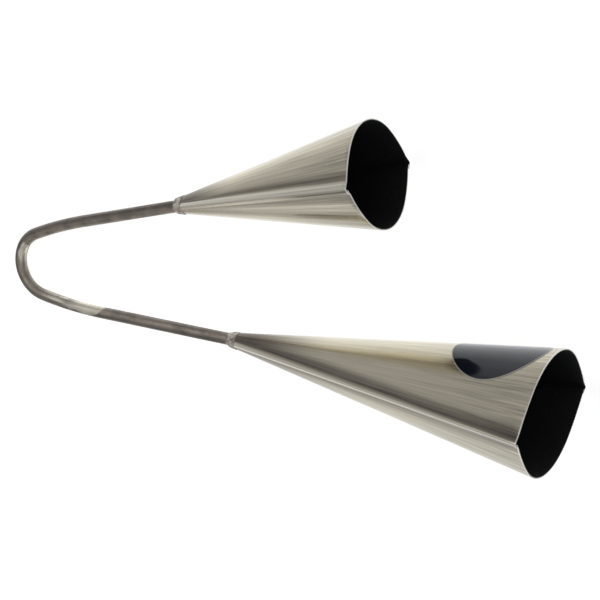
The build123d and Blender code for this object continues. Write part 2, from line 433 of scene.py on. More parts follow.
def put(tree, kind, inputs=None, **options):
    """Add a node, set its options, and give each input, by name or place, a value or a link."""
    made = tree.nodes.new(kind)
    for name, value in options.items():
        setattr(made, name, value)
    for key, value in (inputs or {}).items():
        if isinstance(value, bpy.types.NodeSocket):
            tree.links.new(value, made.inputs[key])
        else:
            made.inputs[key].default_value = value
    return made


def maths(tree, operation, first, second=0.0, third=0.0):
    inputs = {0: first, 1: second, 2: third}
    return put(tree, "ShaderNodeMath", inputs, operation=operation).outputs[0]


def product(tree, first, *others):
    for factor in others:
        first = maths(tree, "MULTIPLY", first, factor)
    return first


def rest(tree, value):
    """What is left of one."""
    return maths(tree, "SUBTRACT", 1.0, value)


def vectors(tree, operation, first, second=(0.0, 0.0, 0.0)):
    return put(tree, "ShaderNodeVectorMath", {0: first, 1: second}, operation=operation).outputs[0]


def scaled(tree, vector, factor):
    made = put(tree, "ShaderNodeVectorMath", {0: vector, "Scale": factor}, operation="SCALE")
    return made.outputs[0]


def mixed_vector(tree, factor, first, second):
    made = put(tree, "ShaderNodeMix", {0: factor, 4: first, 5: second}, data_type="VECTOR")
    return made.outputs[1]


def mixed_colour(tree, factor, first, second):
    made = put(tree, "ShaderNodeMix", {0: factor, 6: first, 7: second}, data_type="RGBA")
    return made.outputs[2]


def mapped(tree, value, low, high, to_low=0.0, to_high=1.0, smooth=False):
    """Value taken from one range to another, and kept within it."""
    inputs = {"Value": value, "From Min": low, "From Max": high, "To Min": to_low, "To Max": to_high}
    kind = "SMOOTHSTEP" if smooth else "LINEAR"
    return put(tree, "ShaderNodeMapRange", inputs, interpolation_type=kind).outputs[0]


def between(tree, mask, low, high):
    """Mask of nought to one, taken to another range."""
    return mapped(tree, mask, 0.0, 1.0, low, high)


def noise(tree, vector, scale, detail=2.0, roughness=0.5, seed=0.0):
    inputs = {"Vector": vector, "W": seed, "Scale": scale, "Detail": detail, "Roughness": roughness}
    return put(tree, "ShaderNodeTexNoise", inputs, noise_dimensions="4D").outputs[0]


def joined_vector(tree, x=0.0, y=0.0, z=0.0):
    return put(tree, "ShaderNodeCombineXYZ", {0: x, 1: y, 2: z}).outputs[0]


def opaque(rgb):
    return (*rgb, 1.0)


# Geometry trees


def new_geometry_tree(name, sockets):
    """Geometry tree with a geometry output and named inputs, given as name and socket type."""
    tree = bpy.data.node_groups.new(name, "GeometryNodeTree")
    tree.interface.new_socket("Geometry", in_out="OUTPUT", socket_type="NodeSocketGeometry")
    for socket_name, kind in sockets:
        tree.interface.new_socket(socket_name, in_out="INPUT", socket_type="NodeSocket" + kind)
    return tree, put(tree, "NodeGroupInput").outputs


def finish_tree(tree, geometry, materials):
    """End a tree: merge the seams, realize, and set each zone's material."""
    inputs = {"Geometry": geometry, "Distance": MERGE_DISTANCE}
    geometry = put(tree, "GeometryNodeMergeByDistance", inputs).outputs[0]
    geometry = put(tree, "GeometryNodeSetShadeSmooth", {0: geometry}).outputs[0]
    geometry = put(tree, "GeometryNodeRealizeInstances", {0: geometry}).outputs[0]
    zone = named_value(tree, "zone", "INT")
    for number, material in enumerate(materials):
        chosen = put(
            tree, "FunctionNodeCompare", {2: zone, 3: number}, data_type="INT", operation="EQUAL"
        ).outputs[0]
        inputs = {"Geometry": geometry, "Selection": chosen, "Material": material}
        geometry = put(tree, "GeometryNodeSetMaterial", inputs).outputs[0]
    put(tree, "NodeGroupOutput", {0: geometry})
    return tree


def named_value(tree, name, kind):
    return put(tree, "GeometryNodeInputNamedAttribute", {"Name": name}, data_type=kind).outputs[0]


def sampled(tree, geometry, name, kind, index):
    """Named attribute of one point of another geometry."""
    inputs = {0: geometry, 1: named_value(tree, name, kind), 2: index}
    return put(tree, "GeometryNodeSampleIndex", inputs, data_type=kind, domain="POINT").outputs[0]


def stored(tree, geometry, name, kind, value, domain="POINT"):
    inputs = {"Geometry": geometry, "Name": name, "Value": value}
    made = put(tree, "GeometryNodeStoreNamedAttribute", inputs, data_type=kind, domain=domain)
    return made.outputs[0]


def grid(tree, columns, rows):
    """Flat grid, and fields for the column and the row of each of its points."""
    inputs = {"Vertices X": columns, "Vertices Y": rows}
    mesh = put(tree, "GeometryNodeMeshGrid", inputs).outputs[0]
    index = put(tree, "GeometryNodeInputIndex").outputs[0]
    column = maths(tree, "FLOOR", maths(tree, "DIVIDE", maths(tree, "ADD", index, 0.5), rows))
    row = maths(tree, "SUBTRACT", index, maths(tree, "MULTIPLY", column, rows))
    return mesh, column, row


def placed(tree, mesh, position, zone, flip):
    """Move a grid's points, number its zone, and turn its faces over if asked."""
    mesh = put(tree, "GeometryNodeSetPosition", {"Geometry": mesh, "Position": position}).outputs[0]
    mesh = stored(tree, mesh, "zone", "INT", zone, "FACE")
    return put(tree, "GeometryNodeFlipFaces", {0: mesh}).outputs[0] if flip else mesh


def points_in(tree, geometry):
    return put(tree, "GeometryNodeAttributeDomainSize", {0: geometry}, component="MESH").outputs[0]


def joined(tree, parts):
    made = put(tree, "GeometryNodeJoinGeometry")
    for part in reversed(parts):
        tree.links.new(part, made.inputs[0])
    return made.outputs[0]


def read_off(tree, stops, place):
    """Amount at a place on a line of stops, held before the first and after the last."""
    amount = stops[0][1]
    for (start, low), (end, high) in zip(stops, stops[1:]):
        amount = maths(tree, "ADD", mapped(tree, place, start, end, 0.0, high - low), amount)
    return amount


def ruled_shell_tree(name, tones, lap_line_fade):
    """Sheet ruled from a neck outline to a mouth outline, with its inside and its cut edges."""
    tree, given = new_geometry_tree(
        name,
        [
            ("Outline", "Geometry"),
            ("Rows", "Int"),
            ("Length", "Float"),
            ("Waves", "Float"),
            ("Burnt End", "Float"),
            ("Band Neck Share", "Float"),
            ("Outside", "Material"),
            ("Inside", "Material"),
            ("Mouth Edge", "Material"),
            ("Seam Edge", "Material"),
        ],
    )
    outline = given["Outline"]
    rows = given["Rows"]
    columns = points_in(tree, outline)
    last_column = maths(tree, "SUBTRACT", columns, 1.0)
    last_row = maths(tree, "SUBTRACT", rows, 1.0)

    def sheet_point(column, along, depth):
        faces = []
        for face in ("outer", "inner"):
            neck = sampled(tree, outline, f"neck_{face}", "FLOAT_VECTOR", column)
            mouth = sampled(tree, outline, f"mouth_{face}", "FLOAT_VECTOR", column)
            faces.append(mixed_vector(tree, along, neck, mouth))
        still = sampled(tree, outline, "still", "FLOAT", column)
        return vectors(tree, "ADD", mixed_vector(tree, depth, *faces), waves(faces[0], along, still))

    def waves(outer, along, still):
        """Swell of the sheet, at most half the given height, none at the ends and beside the seams."""
        swell = maths(tree, "SUBTRACT", noise(tree, outer, WAVE_SCALE, detail=1.0, seed=WAVE_SEED), 0.5)
        free_of_ends = product(tree, along, rest(tree, along), 4.0)
        height = product(tree, swell, free_of_ends, rest(tree, still), given["Waves"])
        outward = vectors(tree, "NORMALIZE", vectors(tree, "MULTIPLY", outer, (1, 1, 0)))
        return scaled(tree, outward, height)

    def patch(sides, column_of, along_of, depth_of, zone, flip):
        mesh, first, second = grid(tree, *sides)
        column = column_of(first)
        along = along_of(first, second)
        depth = depth_of(second)
        mesh = placed(tree, mesh, sheet_point(column, along, depth), zone, flip)
        mesh = stored(tree, mesh, "along", "FLOAT", along)
        mesh = stored(tree, mesh, "depth", "FLOAT", depth)
        for name in ("across", "past_corner", "burnt"):
            mesh = stored(tree, mesh, name, "FLOAT", sampled(tree, outline, name, "FLOAT", column))
        return mesh

    def tone(past_corner, along):
        """Tone beside the seam, in bands that follow it."""
        narrowed = mapped(tree, along, 0.0, BAND_WHOLE_FROM, given["Band Neck Share"], 1.0)
        amount = read_off(tree, tones, product(tree, past_corner, narrowed))
        if lap_line_fade is None:
            return amount
        on_lap = mapped(tree, past_corner, 0.0, -FOLD_RADIUS)
        faded = mapped(tree, along, *lap_line_fade, 1.0, 0.0, smooth=True)
        return product(tree, amount, rest(tree, product(tree, on_lap, faded)))

    def marked(mesh):
        """Store what the steel's finish reads: unrolled place, way to the mouth, burnt tint and tone."""
        along, across, past_corner, burnt = [
            named_value(tree, name, "FLOAT") for name in ("along", "across", "past_corner", "burnt")
        ]
        unrolled = joined_vector(tree, product(tree, along, given["Length"]), across)
        mesh = stored(tree, mesh, "UVMap", "FLOAT2", unrolled, "CORNER")
        mesh = stored(tree, mesh, "to_mouth", "FLOAT", product(tree, rest(tree, along), given["Length"]))
        near_neck = mapped(tree, along, BURNT_FADE, given["Burnt End"], 1.0, 0.0, smooth=True)
        mesh = stored(tree, mesh, "burnt", "FLOAT", product(tree, burnt, near_neck))
        return stored(tree, mesh, "patina", "FLOAT", tone(past_corner, along))

    def row_share(row):
        return maths(tree, "DIVIDE", row, last_row)

    parts = [
        patch((columns, rows), lambda i: i, lambda i, j: row_share(j), lambda j: 0.0, 0, True),
        patch((columns, rows), lambda i: i, lambda i, j: row_share(j), lambda j: 1.0, 1, False),
        patch((columns, 2), lambda i: i, lambda i, j: 1.0, lambda j: j, 2, True),
        patch((columns, 2), lambda i: i, lambda i, j: 0.0, lambda j: j, 3, False),
        patch((rows, 2), lambda i: 0, lambda i, j: row_share(i), lambda j: j, 3, True),
        patch((rows, 2), lambda i: last_column, lambda i, j: row_share(i), lambda j: j, 3, False),
    ]
    surfaces = [given[name] for name in ("Outside", "Inside", "Mouth Edge", "Seam Edge")]
    return finish_tree(tree, marked(joined(tree, parts)), surfaces)


def bent_rod_tree():
    """Round bar along a path, a little uneven, with its unrolled place stored on it."""
    tree, given = new_geometry_tree(
        "bent_rod",
        [
            ("Path", "Geometry"),
            ("Radius", "Float"),
            ("Sides", "Int"),
            ("Dents", "Float"),
            ("Surface", "Material"),
        ],
    )
    radius = given["Radius"]
    path = put(tree, "GeometryNodeMeshToCurve", {0: given["Path"]}).outputs[0]
    spline = put(tree, "GeometryNodeSplineParameter").outputs
    path = stored(tree, path, "along", "FLOAT", spline["Length"])
    inputs = {"Resolution": given["Sides"], "Radius": radius}
    ring = put(tree, "GeometryNodeCurvePrimitiveCircle", inputs).outputs[0]
    ring = stored(tree, ring, "round", "FLOAT", spline["Factor"])
    inputs = {"Curve": path, "Profile Curve": ring, "Fill Caps": True}
    mesh = put(tree, "GeometryNodeCurveToMesh", inputs).outputs[0]
    angle = product(tree, named_value(tree, "round", "FLOAT"), math.tau)
    side = product(tree, maths(tree, "COSINE", angle), radius)
    top = product(tree, maths(tree, "SINE", angle), radius, -1.0)
    place = joined_vector(tree, named_value(tree, "along", "FLOAT"), side, top)
    mesh = stored(tree, mesh, "rod_place", "FLOAT_VECTOR", place)
    position = put(tree, "GeometryNodeInputPosition").outputs[0]
    dents = maths(tree, "SUBTRACT", noise(tree, position, DENT_SCALE, detail=3.0, seed=DENT_SEED), 0.5)
    normal = put(tree, "GeometryNodeInputNormal").outputs[0]
    offset = scaled(tree, normal, product(tree, dents, given["Dents"]))
    mesh = put(tree, "GeometryNodeSetPosition", {"Geometry": mesh, "Offset": offset}).outputs[0]
    mesh = stored(tree, mesh, "zone", "INT", 0, "FACE")
    return finish_tree(tree, mesh, [given["Surface"]])


def weld_bead_tree():
    """Bead that starts round the rod and runs out over a neck, lumpy, with a wandering front edge.

    Its first and last rows lie buried in the steel, and close it from inside.
    """
    tree, given = new_geometry_tree(
        "weld_bead",
        [
            ("Outline", "Geometry"),
            ("Steps", "Int"),
            ("Rod Radius", "Float"),
            ("Bell Length", "Float"),
            ("Toe", "Float"),
            ("Front", "Float"),
            ("Height", "Float"),
            ("Lumps", "Float"),
            ("Wander", "Float"),
            ("Bury", "Float"),
            ("Seed", "Float"),
            ("Surface", "Material"),
        ],
    )
    outline = given["Outline"]
    steps = given["Steps"]
    mesh, column, row = grid(tree, points_in(tree, outline), maths(tree, "ADD", steps, 1.0))
    step = maths(tree, "MODULO", row, steps)
    last = maths(tree, "SUBTRACT", steps, 1.0)
    along = mapped(tree, step, 1.0, maths(tree, "SUBTRACT", steps, 2.0))
    ends = [maths(tree, "COMPARE", step, end, 0.1) for end in (0.0, last)]
    buried = maths(tree, "ADD", *ends)

    neck = sampled(tree, outline, "neck_outer", "FLOAT_VECTOR", column)
    mouth = sampled(tree, outline, "mouth_outer", "FLOAT_VECTOR", column)
    round_the_neck = vectors(tree, "NORMALIZE", vectors(tree, "MULTIPLY", neck, (1, 1, 0)))
    uneven = noise(tree, round_the_neck, WELD_WANDER_SCALE, detail=3.0, roughness=0.6, seed=given["Seed"])
    wander = maths(tree, "SUBTRACT", uneven, 0.5)
    run = between(tree, along, given["Toe"], given["Front"])
    height = maths(tree, "ADD", run, product(tree, wander, given["Wander"], along))

    up_the_bell = maths(tree, "DIVIDE", maths(tree, "MAXIMUM", height, 0.0), given["Bell Length"])
    skin = vectors(tree, "MULTIPLY", mixed_vector(tree, up_the_bell, neck, mouth), (1, 1, 0))
    outward = vectors(tree, "NORMALIZE", skin)
    skin_radius = put(tree, "ShaderNodeVectorMath", {0: skin}, operation="LENGTH").outputs["Value"]
    on_neck = mapped(tree, height, given["Toe"], 0.0, smooth=True)
    radius = between(tree, on_neck, given["Rod Radius"], skin_radius)

    hump = product(tree, along, rest(tree, along))
    rise = product(tree, mapped(tree, hump, 0.0, 0.25, WELD_EDGE_SHARE, 1.0), given["Height"])
    place = vectors(tree, "ADD", scaled(tree, outward, radius), joined_vector(tree, z=height))
    uneven = noise(tree, place, WELD_LUMP_SCALE, detail=3.0, roughness=0.55, seed=given["Seed"])
    lumps = maths(tree, "SUBTRACT", uneven, 0.5)
    rise = maths(tree, "ADD", rise, product(tree, lumps, given["Lumps"]))
    rise = maths(tree, "MAXIMUM", rise, WELD_LEAST_HEIGHT)
    depth = product(tree, buried, given["Bury"])
    lift = maths(tree, "SUBTRACT", product(tree, rise, rest(tree, buried)), depth)
    mesh = placed(tree, mesh, vectors(tree, "ADD", place, scaled(tree, outward, lift)), 0, True)
    mesh = stored(tree, mesh, "bead", "FLOAT", along)
    return finish_tree(tree, mesh, [given["Surface"]])


def laid_label_tree():
    """Oval film laid on a shell, with its face, edge and underside."""
    tree, given = new_geometry_tree(
        "laid_label",
        [
            ("Profile", "Geometry"),
            ("Shell", "Object"),
            ("Sides", "Int"),
            ("Middle", "Vector"),
            ("Along", "Vector"),
            ("Across", "Vector"),
            ("Down", "Vector"),
            ("Film", "Material"),
        ],
    )
    profile = given["Profile"]
    mesh, column, row = grid(tree, maths(tree, "ADD", given["Sides"], 1.0), points_in(tree, profile))
    angle = product(tree, maths(tree, "DIVIDE", column, given["Sides"]), math.tau)
    reach = sampled(tree, profile, "reach", "FLOAT", row)
    height = sampled(tree, profile, "height", "FLOAT", row)
    along = scaled(tree, given["Along"], product(tree, maths(tree, "COSINE", angle), reach))
    across = scaled(tree, given["Across"], product(tree, maths(tree, "SINE", angle), reach))
    start = vectors(tree, "ADD", given["Middle"], vectors(tree, "ADD", along, across))
    inputs = {"Object": given["Shell"]}
    shell = put(tree, "GeometryNodeObjectInfo", inputs, transform_space="RELATIVE").outputs["Geometry"]
    inputs = {"Target Geometry": shell, "Source Position": start, "Ray Direction": given["Down"]}
    hit = put(tree, "GeometryNodeRaycast", inputs).outputs
    lifted = vectors(tree, "ADD", hit["Hit Position"], scaled(tree, hit["Hit Normal"], height))
    mesh = stored(tree, mesh, "reach", "FLOAT", reach)
    mesh = placed(tree, mesh, lifted, 0, False)
    return finish_tree(tree, mesh, [given["Film"]])


def line_mesh(name, points, attributes):
    """Mesh line through points, carrying named attributes as kind and values."""
    mesh = bpy.data.meshes.new(name)
    mesh.from_pydata(points, [(i, i + 1) for i in range(len(points) - 1)], [])
    for label, (kind, values) in attributes.items():
        layer = mesh.attributes.new(label, kind, "POINT")
        field = "vector" if kind == "FLOAT_VECTOR" else "value"
        flat = [number for value in values for number in value] if field == "vector" else values
        layer.data.foreach_set(field, flat)
    return mesh


def grown(name, tree, data, values, bevel=0.0):
    """Run a geometry tree on a mesh line, and return the plain mesh object that it makes."""
    source = bpy.data.objects.new(name + "_line", data)
    bpy.context.scene.collection.objects.link(source)
    modifier = source.modifiers.new(tree.name, "NODES")
    modifier.node_group = tree
    for item in tree.interface.items_tree:
        if item.item_type == "SOCKET" and item.in_out == "INPUT" and item.name in values:
            modifier[item.identifier] = values[item.name]
    if bevel:
        rounding = source.modifiers.new("edges", "BEVEL")
        rounding.width = bevel
        rounding.segments = RIM_STEPS
        rounding.limit_method = "ANGLE"
        rounding.angle_limit = RIM_ANGLE
    depsgraph = bpy.context.evaluated_depsgraph_get()
    mesh = bpy.data.meshes.new_from_object(
        source.evaluated_get(depsgraph), preserve_all_data_layers=True, depsgraph=depsgraph
    )
    source.modifiers.clear()
    bpy.data.objects.remove(source)
    mesh.name = name
    mesh.set_sharp_from_angle(angle=SHARP_EDGE)
    if not mesh.polygons:
        raise RuntimeError(f"{name} came out empty")
    piece = bpy.data.objects.new(name, mesh)
    bpy.context.scene.collection.objects.link(piece)
    return piece


def dress(piece, slot, *nodes):
    """Put a finished piece in the place of its CAD nodes."""
    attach(piece, "root")
    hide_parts(*nodes)


# Shapes


def polar(centre, radius, angle):
    """Point at an angle measured from the crown direction towards the seam."""
    return (centre[0] + radius * math.sin(angle), centre[1] + radius * math.cos(angle))


def arc(centre, radius, start, end, steps):
    return [polar(centre, radius, start + (end - start) * i / steps) for i in range(steps + 1)]


def straight(start, end, steps):
    return [
        (start[0] + (end[0] - start[0]) * i / steps, start[1] + (end[1] - start[1]) * i / steps)
        for i in range(steps + 1)
    ]


class HalfOutline:
    """Half of a bell's cross-section: crown arc, flank arc, reverse flare and straight lip."""

    def __init__(self, half_width, height, crown_radius, bulge, lip_width, flare, flare_radius):
        self.half_width = half_width
        self.crown_radius = crown_radius
        self.flare_radius = flare_radius
        self.crown_centre = (0.0, height - crown_radius)
        flare_loss = lip_width * math.sin(flare) + flare_radius * (1 - math.cos(flare))
        reach = math.hypot(half_width, self.crown_centre[1])
        lean = math.atan2(self.crown_centre[1], half_width)
        self.flank_slope = lean + math.asin((crown_radius + bulge + flare_loss) / reach)
        self.lip_slope = self.flank_slope - flare
        self.flare_centre = polar(self.on_lip(lip_width), flare_radius, self.lip_slope)
        foot = polar(self.flare_centre, -flare_radius, self.flank_slope)
        above = foot[1] - self.crown_centre[1]
        self.flank_radius = (foot[0] ** 2 + above**2 - crown_radius**2) / (2 * bulge)
        self.flank_centre = polar(foot, -self.flank_radius, self.flank_slope)
        self.crown_turn = math.atan2(-self.flank_centre[0], self.crown_centre[1] - self.flank_centre[1])

    def on_lip(self, setback, offset=0.0):
        across = self.half_width - setback * math.cos(self.lip_slope)
        return polar((across, setback * math.sin(self.lip_slope)), offset, self.lip_slope)

    def side(self, offset, setback):
        """Strokes from the crown's middle to the lip's end."""
        crown = arc(self.crown_centre, self.crown_radius + offset, 0.0, self.crown_turn, CROWN_STEPS)
        flank = arc(
            self.flank_centre, self.flank_radius + offset, self.crown_turn, self.flank_slope, FLANK_STEPS
        )
        flare = arc(
            self.flare_centre, offset - self.flare_radius, self.flank_slope, self.lip_slope, FLARE_STEPS
        )
        lip = straight(flare[-1], self.on_lip(setback, offset), LIP_STEPS)
        return [crown, flank, flare, lip]


class Section:
    """Cross-section of one bell. The lipped shell lies outside the outlines, the plain one inside."""

    def __init__(self, lipped, plain, lap_width, fold_radius, plain_setback, sheet):
        self.lipped = lipped
        self.plain = plain
        self.lap_width = lap_width
        self.fold_radius = fold_radius
        self.plain_setback = plain_setback
        self.sheet = sheet
        self.fold_setback = fold_radius / math.tan((lipped.lip_slope + plain.lip_slope) / 2)
        self.fold_centre = polar(lipped.on_lip(self.fold_setback), -fold_radius, lipped.lip_slope)

    def lipped_half(self, offset):
        fold_end = math.pi - self.plain.lip_slope
        fold = arc(self.fold_centre, self.fold_radius + offset, self.lipped.lip_slope, fold_end, FOLD_STEPS)
        lap_ends = [self.plain.on_lip(setback, offset) for setback in (self.fold_setback, self.lap_width)]
        lap = [(x, -y) for x, y in straight(*lap_ends, LAP_STEPS)]
        return self.lipped.side(offset, self.fold_setback) + [fold, lap]

    def plain_half(self, depth):
        strokes = self.plain.side(-FIT_CLEARANCE - depth, self.plain_setback)
        return [[(-x, -y) for x, y in stroke] for stroke in strokes]

    def faces(self, lipped):
        """Outer and inner line of one shell, from edge to edge, in order round the bell."""
        half = self.lipped_half if lipped else self.plain_half
        depths = (self.sheet, 0.0) if lipped else (0.0, self.sheet)
        return [both_sides(half(depth)) for depth in depths]

    def skin(self):
        """Outer line right round the bell, over the laps, ending where it starts."""
        lipped = both_sides(self.lipped_half(self.sheet))
        plain = both_sides(self.plain_half(0.0)[:2])
        return lipped + plain + lipped[:1]


def both_sides(strokes):
    """One side's strokes and their mirror image as one line of points."""
    side = strokes[0] + [point for stroke in strokes[1:] for point in stroke[1:]]
    other = [(-x, y) for x, y in reversed(side)]
    return other[:-1] + side


def mouth_section(bell, sheet):
    half_width = bell.mouth_width / 2
    half_height = bell.mouth_height / 2
    one_arc_radius = (half_width**2 + half_height**2) / bell.mouth_height
    half = HalfOutline(
        half_width,
        half_height,
        one_arc_radius * (1 - sheet.crown_tightening),
        sheet.flank_bulge,
        sheet.lap_width + LAP_MARGIN,
        sheet.flare,
        sheet.flare_radius,
    )
    return Section(half, half, sheet.lap_width, FOLD_RADIUS, PLAIN_EDGE_SETBACK, sheet.thickness)


def neck_section(rod_radius, sheet):
    lipped_radius = rod_radius + FIT_CLEARANCE
    plain_radius = lipped_radius + sheet.thickness + FIT_CLEARANCE
    halves = [
        HalfOutline(
            plain_radius + NECK_SEAM_REACH,
            radius,
            radius,
            NECK_FLANK_BULGE,
            NECK_LAP_WIDTH + NECK_LAP_MARGIN,
            NECK_FLARE,
            NECK_FLARE_RADIUS,
        )
        for radius in (lipped_radius, plain_radius)
    ]
    return Section(*halves, NECK_LAP_WIDTH, NECK_FOLD_RADIUS, NECK_PLAIN_SETBACK, sheet.thickness)


class Arm:
    """One arm of the handle, in the handle's plane: sweep, straight run and the bell's axis."""

    def __init__(self, handle, bell, side):
        self.side = side
        self.sweep = handle.small_sweep if side > 0 else handle.large_sweep
        self.spread = handle.small_spread if side > 0 else handle.large_spread
        self.straight = handle.small_arm if side > 0 else handle.large_arm
        self.start_angle = self.sweep + self.spread
        start = self.turned(handle.bend_radius, self.start_angle)
        self.sweep_radius = handle.sweep_radius
        self.sweep_centre = start - self.turned(handle.sweep_radius, self.start_angle)
        self.direction = Vector((math.cos(self.spread), side * math.sin(self.spread), 0.0))
        self.straight_start = self.on_sweep(self.spread)
        self.neck = self.straight_start + self.straight * self.direction
        self.end = self.neck + handle.insertion * self.direction
        self.bell_angle = side * self.spread - bell.lean

    def turned(self, radius, angle):
        return radius * Vector((-math.sin(angle), self.side * math.cos(angle), 0.0))

    def on_sweep(self, angle):
        return self.sweep_centre + self.turned(self.sweep_radius, angle)

    def sweep_points(self):
        """Points from the straight run back to the bend."""
        steps = range(1, SWEEP_STEPS + 1)
        return [self.on_sweep(self.spread + self.sweep * i / SWEEP_STEPS) for i in steps]

    def bell_matrix(self):
        """From the bell's own axes (seam, crown, mouth) to the shared frame."""
        mouth = Vector((math.cos(self.bell_angle), math.sin(self.bell_angle), 0.0))
        seam = Vector((0.0, 0.0, -1.0))
        axes = Matrix((seam, mouth.cross(seam), mouth)).transposed().to_4x4()
        return handle_matrix() @ Matrix.Translation(self.neck) @ axes


def handle_matrix():
    """From the handle's plane to the shared frame."""
    pitch = Matrix.Rotation(-HANDLE_PITCH, 4, "Y")
    roll = Matrix.Rotation(HANDLE_ROLL, 4, "X")
    return Matrix.Translation(BEND_CENTRE) @ pitch @ roll


def bells(settings):
    """Name, sizes and arm of each bell."""
    handle = settings.handle
    return [
        ("small", settings.small_bell, Arm(handle, settings.small_bell, 1)),
        ("large", settings.large_bell, Arm(handle, settings.large_bell, -1)),
    ]


def at_height(points, height):
    return [(x, y, height) for x, y in points]


def smooth_step(value, low, high):
    part = min(max((value - low) / (high - low), 0.0), 1.0)
    return part * part * (3 - 2 * part)


def shell_outline(name, bell, settings, kind):
    """Line that holds both ends of a shell's outer and inner face, and what varies round the bell."""
    lipped = kind == "lipped"
    neck = neck_section(settings.handle.rod_diameter / 2, settings.sheet).faces(lipped)
    mouth = mouth_section(bell, settings.sheet).faces(lipped)
    across = [0.0]
    for a, b in zip(mouth[0], mouth[0][1:]):
        across.append(across[-1] + math.dist(a, b))
    corner = across[max(range(len(across) // 2), key=lambda i: abs(mouth[0][i][0]))]
    past_corner = [min(place, across[-1] - place) - corner for place in across]
    burnt = BURNT_NECKS[name][kind]
    return line_mesh(
        f"{name}_outline",
        at_height(neck[0], 0.0),
        {
            "neck_outer": ("FLOAT_VECTOR", at_height(neck[0], 0.0)),
            "neck_inner": ("FLOAT_VECTOR", at_height(neck[1], 0.0)),
            "mouth_outer": ("FLOAT_VECTOR", at_height(mouth[0], bell.bell_length)),
            "mouth_inner": ("FLOAT_VECTOR", at_height(mouth[1], bell.bell_length)),
            "across": ("FLOAT", across),
            "past_corner": ("FLOAT", past_corner),
            "burnt": ("FLOAT", [burnt * smooth_step(distance, *BURNT_START) for distance in past_corner]),
            "still": ("FLOAT", [1 - smooth_step(distance, 0.0, SEAM_CALM) for distance in past_corner]),
        },
    )


def neck_outline(name, bell, settings):
    """Closed line round a bell's skin, which its weld bead follows."""
    neck = neck_section(settings.handle.rod_diameter / 2, settings.sheet).skin()
    mouth = mouth_section(bell, settings.sheet).skin()
    return line_mesh(
        name,
        at_height(neck, 0.0),
        {
            "neck_outer": ("FLOAT_VECTOR", at_height(neck, 0.0)),
            "mouth_outer": ("FLOAT_VECTOR", at_height(mouth, bell.bell_length)),
        },
    )


# Shader groups and materials


def new_shader_group(name, inputs, outputs):
    """Shader group with named inputs, given as name, socket type and default, and named outputs."""
    tree = bpy.data.node_groups.new(name, "ShaderNodeTree")
    for label, kind, default in inputs:
        socket = tree.interface.new_socket(label, in_out="INPUT", socket_type="NodeSocket" + kind)
        socket.default_value = default
    for label, kind in outputs:
        tree.interface.new_socket(label, in_out="OUTPUT", socket_type="NodeSocket" + kind)
    return tree, put(tree, "NodeGroupInput").outputs


def brush_marks_group():
    """Lines of a brush: fine scratches and broader streaks, long in X and narrow in Y and Z."""
    name = "brush_marks"
    if name in bpy.data.node_groups:
        return bpy.data.node_groups[name]
    tree, given = new_shader_group(
        name,
        [
            ("Place", "Vector", (0.0, 0.0, 0.0)),
            ("Line Length", "Float", 0.03),
            ("Line Width", "Float", 0.0003),
        ],
        [("Scratches", "Float"), ("Streaks", "Float")],
    )
    x, y, z = put(tree, "ShaderNodeSeparateXYZ", {0: given["Place"]}).outputs
    along = maths(tree, "DIVIDE", x, given["Line Length"])
    across = maths(tree, "DIVIDE", y, given["Line Width"])
    depth = maths(tree, "DIVIDE", z, given["Line Width"])

    def lines(length, width, seed):
        """Soft lines, drawn out along the brush, in shares of the group's length and width."""
        place = joined_vector(
            tree,
            maths(tree, "DIVIDE", along, length),
            maths(tree, "DIVIDE", across, width),
            maths(tree, "DIVIDE", depth, width),
        )
        return noise(tree, place, scale=1.0, detail=0.0, seed=seed)

    def blended(first, second, share_of_second):
        weighted = maths(tree, "MULTIPLY", second, share_of_second)
        return maths(tree, "MULTIPLY_ADD", first, 1 - share_of_second, weighted)

    fine = blended(
        lines(length=1.0, width=1.0, seed=1.3),
        lines(length=0.5, width=0.62, seed=2.6),
        share_of_second=0.35,
    )
    broad = blended(
        lines(length=1.3, width=1.9, seed=3.7),
        lines(length=2.4, width=4.3, seed=5.2),
        share_of_second=0.5,
    )
    outputs = {
        "Scratches": mapped(tree, fine, *SCRATCH_CONTRAST),
        "Streaks": mapped(tree, broad, *STREAK_CONTRAST),
    }
    put(tree, "NodeGroupOutput", outputs)
    return tree


def clouds_group():
    """Soft blotches of handling and uneven finish, and a fine grain."""
    name = "clouds"
    if name in bpy.data.node_groups:
        return bpy.data.node_groups[name]
    tree, given = new_shader_group(
        name,
        [("Place", "Vector", (0.0, 0.0, 0.0)), ("Scale", "Float", 20.0), ("Seed", "Float", 0.0)],
        [("Blotches", "Float"), ("Grain", "Float")],
    )
    place = given["Place"]
    seed = given["Seed"]
    grain_scale = maths(tree, "MULTIPLY", given["Scale"], GRAIN_FINENESS)
    broad = noise(tree, place, given["Scale"], detail=4.0, roughness=0.55, seed=seed)
    grain = noise(tree, place, grain_scale, detail=2.0, roughness=0.6, seed=seed)
    outputs = {
        "Blotches": mapped(tree, broad, *BLOTCH_CONTRAST),
        "Grain": mapped(tree, grain, *GRAIN_CONTRAST),
    }
    put(tree, "NodeGroupOutput", outputs)
    return tree


def brush_marks_on(tree, place, length, width):
    inputs = {"Place": place, "Line Length": length, "Line Width": width}
    return put(tree, "ShaderNodeGroup", inputs, node_tree=brush_marks_group()).outputs


def clouds_on(tree, place, texture):
    inputs = {"Place": place, "Scale": texture.cloud_scale, "Seed": texture.seed}
    return put(tree, "ShaderNodeGroup", inputs, node_tree=clouds_group()).outputs


def new_material(name, **constants):
    """Material with a Principled shader whose plain values are given by socket name."""
    material = bpy.data.materials.new(name)
    material.use_nodes = True
    tree = material.node_tree
    tree.nodes.clear()
    shader = put(tree, "ShaderNodeBsdfPrincipled")
    for label, value in constants.items():
        shader.inputs[label.replace("_", " ")].default_value = value
    put(tree, "ShaderNodeOutputMaterial", {"Surface": shader.outputs[0]})
    return material, tree, shader


